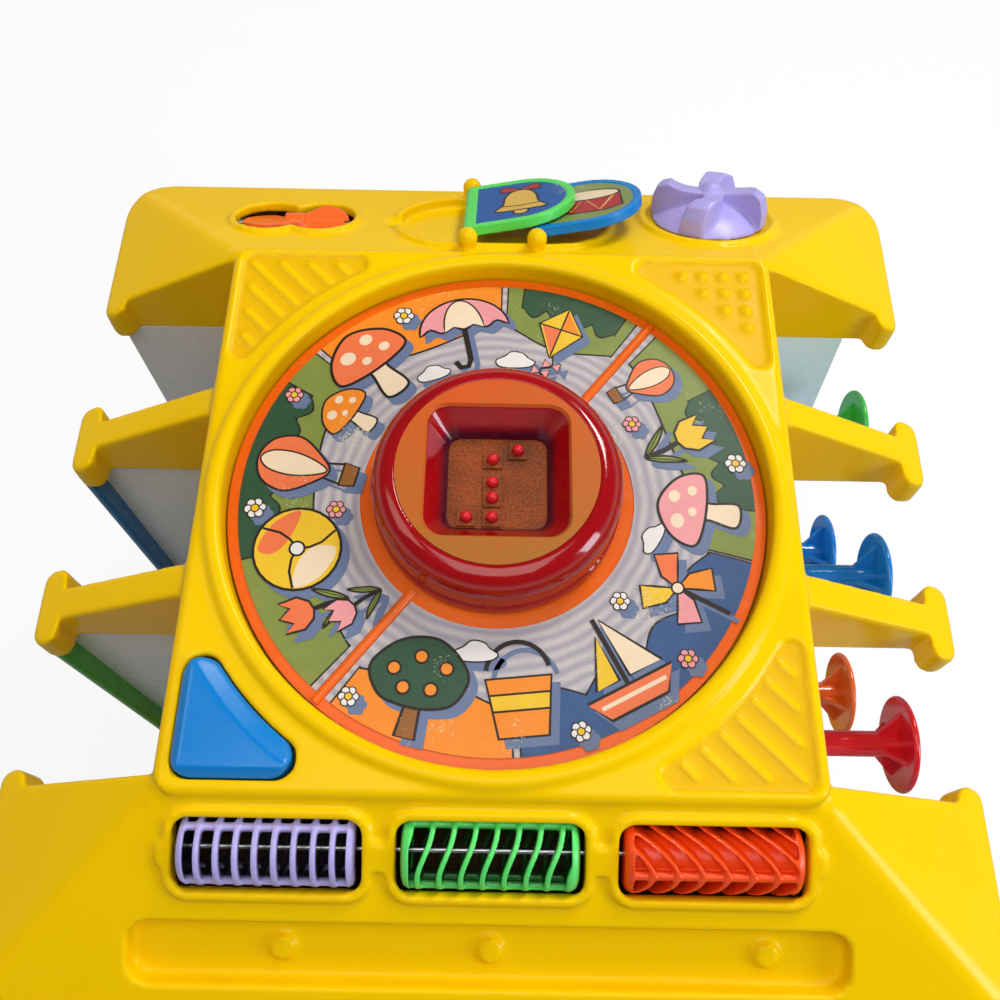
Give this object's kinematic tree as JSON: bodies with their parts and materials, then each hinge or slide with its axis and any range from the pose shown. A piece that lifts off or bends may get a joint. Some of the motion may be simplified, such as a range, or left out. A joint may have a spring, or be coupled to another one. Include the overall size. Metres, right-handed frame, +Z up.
{
  "type": "activity cube",
  "caption": "Toddler activity cube: a sloped cap with a picture disc round a block reader, rollers, turning pages and a knob, over block chutes and a peg wall.",
  "frame": {"origin": "on the floor under the middle of the footprint", "axes": "+Z up, -Y towards the rollers at the front, +X towards the peg wall on the right"},
  "size_m": [0.404, 0.406, 0.38],
  "materials": {
    "yellow_plastic": "polished ABS",
    "white_plastic": "polished ABS",
    "orange_plastic": "polished",
    "dark_red_plastic": "tinted, high gloss",
    "amber_plastic": "fine grain",
    "brown_plastic": "fine grain",
    "red_plastic": "polished",
    "blue_plastic": "polished",
    "green_plastic": "polished",
    "lilac_plastic": "polished",
    "red_peg_plastic": "tinted, clear",
    "blue_peg_plastic": "tinted, clear",
    "green_peg_plastic": "tinted, clear",
    "orange_peg_plastic": "tinted, clear",
    "disc_print": "printed film",
    "green_page_print": "printed film",
    "blue_page_print": "printed film",
    "steel": "drawn wire and plated screws",
    "foot_rubber": "matt",
    "key_rubber": "matt",
    "circuit_board": "solder mask",
    "cell_jacket": "printed jacket",
    "speaker_cone": "matt"
  },
  "bodies": {
    "body": {"deck": "yellow_plastic", "cap": "yellow_plastic", "base_tray": "yellow_plastic", "battery_door": "yellow_plastic", "glide_ring": "white_plastic", "button_seat": "white_plastic", "left_bay": "white_plastic", "right_bay": "white_plastic", "front_housing": "white_plastic", "back_housing": "white_plastic", "back_divider": "white_plastic", "front_divider": "white_plastic", "battery_case": "white_plastic", "reader_dome": "dark_red_plastic", "reader_face": "amber_plastic", "reader_floor": "brown_plastic", "blue_rail": "blue_plastic", "green_rail": "green_plastic", "peg_1": "red_peg_plastic", "peg_7": "red_peg_plastic", "peg_2": "blue_peg_plastic", "peg_5": "blue_peg_plastic", "peg_8": "blue_peg_plastic", "peg_3": "green_peg_plastic", "peg_6": "green_peg_plastic", "peg_4": "orange_peg_plastic", "button_spring": "steel", "roller_axle": "steel", "paddle_axle": "steel", "page_pins": "steel", "base_screws": "steel", "deck_screws": "steel", "battery_contacts": "steel", "door_screw": "steel", "feet": "foot_rubber", "reader_keypad": "key_rubber", "reader_board": "circuit_board", "main_board": "circuit_board", "battery_cells": "cell_jacket", "speaker": "speaker_cone"},
    "disc": {"turntable": "orange_plastic", "picture_sheets": "disc_print"},
    "button": {"corner_button": "blue_plastic"},
    "lilac_drum": {"lilac_roller": "lilac_plastic"},
    "green_drum": {"green_roller": "green_plastic"},
    "orange_drum": {"orange_roller": "orange_plastic"},
    "flipper": {"paddle": "orange_plastic"},
    "green_leaf": {"green_page": "green_plastic", "green_page_picture": "green_page_print"},
    "blue_leaf": {"blue_page": "blue_plastic", "blue_page_picture": "blue_page_print"},
    "pinwheel": {"spin_knob": "lilac_plastic", "knob_screw": "steel"},
    "pin_1": {"reader_pin_1": "red_plastic"},
    "pin_2": {"reader_pin_2": "red_plastic"},
    "pin_3": {"reader_pin_3": "red_plastic"},
    "pin_4": {"reader_pin_4": "red_plastic"},
    "pin_5": {"reader_pin_5": "red_plastic"},
    "pin_6": {"reader_pin_6": "red_plastic"}
  },
  "joints": [
    {"name": "disc_spin", "type": "hinge", "parent": "body", "child": "disc", "pos_m": [0, 0, 0.349], "axis": [0, 0, 1], "continuous": true},
    {"name": "button_press", "type": "slide", "parent": "body", "child": "button", "axis": [0, 0, -1], "range_m": [0, 0.003], "stiffness_N_per_m": 300, "springref_m": -0.002, "deforming": ["button_spring"]},
    {"name": "lilac_roll", "type": "hinge", "parent": "body", "child": "lilac_drum", "pos_m": [-0.0825, -0.14068, 0.33907], "axis": [1, 0, 0], "continuous": true},
    {"name": "green_roll", "type": "hinge", "parent": "body", "child": "green_drum", "pos_m": [0, -0.14068, 0.33907], "axis": [1, 0, 0], "continuous": true},
    {"name": "orange_roll", "type": "hinge", "parent": "body", "child": "orange_drum", "pos_m": [0.0825, -0.14068, 0.33907], "axis": [1, 0, 0], "continuous": true},
    {"name": "flipper_spin", "type": "hinge", "parent": "body", "child": "flipper", "pos_m": [-0.105, 0.16084, 0.33324], "axis": [1, 0, 0], "continuous": true},
    {"name": "green_leaf_turn", "type": "hinge", "parent": "body", "child": "green_leaf", "pos_m": [-0.0165, 0.16337, 0.3421], "axis": [0, -0.8788, 0.4772], "range_deg": [0, 160]},
    {"name": "blue_leaf_turn", "type": "hinge", "parent": "body", "child": "blue_leaf", "pos_m": [0.0165, 0.16337, 0.3421], "axis": [0, -0.8788, 0.4772], "range_deg": [0, 160]},
    {"name": "pinwheel_spin", "type": "hinge", "parent": "body", "child": "pinwheel", "pos_m": [0.105, 0.16994, 0.33114], "axis": [0, 0.4772, 0.8788], "continuous": true},
    {"name": "pin_1_press", "type": "slide", "parent": "body", "child": "pin_1", "axis": [0, 0, -1], "range_m": [0, 0.003], "stiffness_N_per_m": 150, "springref_m": -0.001, "deforming": ["reader_keypad"]},
    {"name": "pin_2_press", "type": "slide", "parent": "body", "child": "pin_2", "axis": [0, 0, -1], "range_m": [0, 0.003], "stiffness_N_per_m": 150, "springref_m": -0.001, "deforming": ["reader_keypad"]},
    {"name": "pin_3_press", "type": "slide", "parent": "body", "child": "pin_3", "axis": [0, 0, -1], "range_m": [0, 0.003], "stiffness_N_per_m": 150, "springref_m": -0.001, "deforming": ["reader_keypad"]},
    {"name": "pin_4_press", "type": "slide", "parent": "body", "child": "pin_4", "axis": [0, 0, -1], "range_m": [0, 0.003], "stiffness_N_per_m": 150, "springref_m": -0.001, "deforming": ["reader_keypad"]},
    {"name": "pin_5_press", "type": "slide", "parent": "body", "child": "pin_5", "axis": [0, 0, -1], "range_m": [0, 0.003], "stiffness_N_per_m": 150, "springref_m": -0.001, "deforming": ["reader_keypad"]},
    {"name": "pin_6_press", "type": "slide", "parent": "body", "child": "pin_6", "axis": [0, 0, -1], "range_m": [0, 0.003], "stiffness_N_per_m": 150, "springref_m": -0.001, "deforming": ["reader_keypad"]}
  ],
  "couplings": [
    {"joint": "blue_leaf_turn", "follows": "green_leaf_turn", "ratio": 1}
  ]
}
